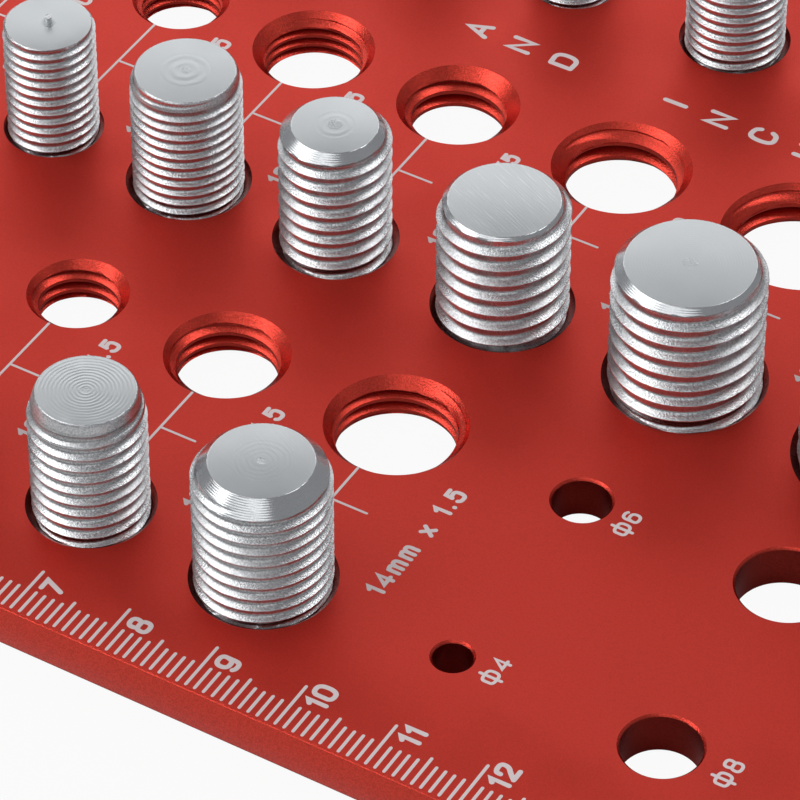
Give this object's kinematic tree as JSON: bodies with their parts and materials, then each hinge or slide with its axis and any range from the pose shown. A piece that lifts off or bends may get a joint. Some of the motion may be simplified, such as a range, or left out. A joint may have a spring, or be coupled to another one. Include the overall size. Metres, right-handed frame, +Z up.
{
  "type": "thread checker",
  "caption": "Flat ruled plate with tapped holes, a standing stud of the same thread beside each, and plain gauge holes, for finding the size of a nut, bolt or rod.",
  "frame": {"origin": "middle of the plate's back face", "axes": "+X along the ruled edge, the way its numbers rise; +Y inward from the ruled edge, across the plate; +Z up, along the studs"},
  "size_m": [0.15, 0.2, 0.0204],
  "materials": {
    "anodised_plate": "red anodised, fine satin",
    "zinc_stud": "bright zinc plated"
  },
  "bodies": {
    "root": {"plate": "anodised_plate", "stud_m6x1_0": "zinc_stud", "stud_m8x1_25": "zinc_stud", "stud_m10x1_5": "zinc_stud", "stud_m12x1_5": "zinc_stud", "stud_m14x1_5": "zinc_stud", "stud_m8x1_0": "zinc_stud", "stud_m10x1_25": "zinc_stud", "stud_m12x1_25": "zinc_stud", "stud_m12x1_75": "zinc_stud", "stud_m14x2_0": "zinc_stud", "stud_m16x2_0": "zinc_stud", "stud_m18x2_5": "zinc_stud", "stud_n10_32": "zinc_stud", "stud_n10_24": "zinc_stud", "stud_1_4_28": "zinc_stud", "stud_1_4_20": "zinc_stud", "stud_5_16_24": "zinc_stud", "stud_5_16_18": "zinc_stud", "stud_3_8_24": "zinc_stud", "stud_3_8_16": "zinc_stud", "stud_7_16_20": "zinc_stud", "stud_7_16_14": "zinc_stud", "stud_1_2_20": "zinc_stud", "stud_1_2_13": "zinc_stud", "stud_9_16_18": "zinc_stud", "stud_9_16_12": "zinc_stud"}
  },
  "joints": []
}
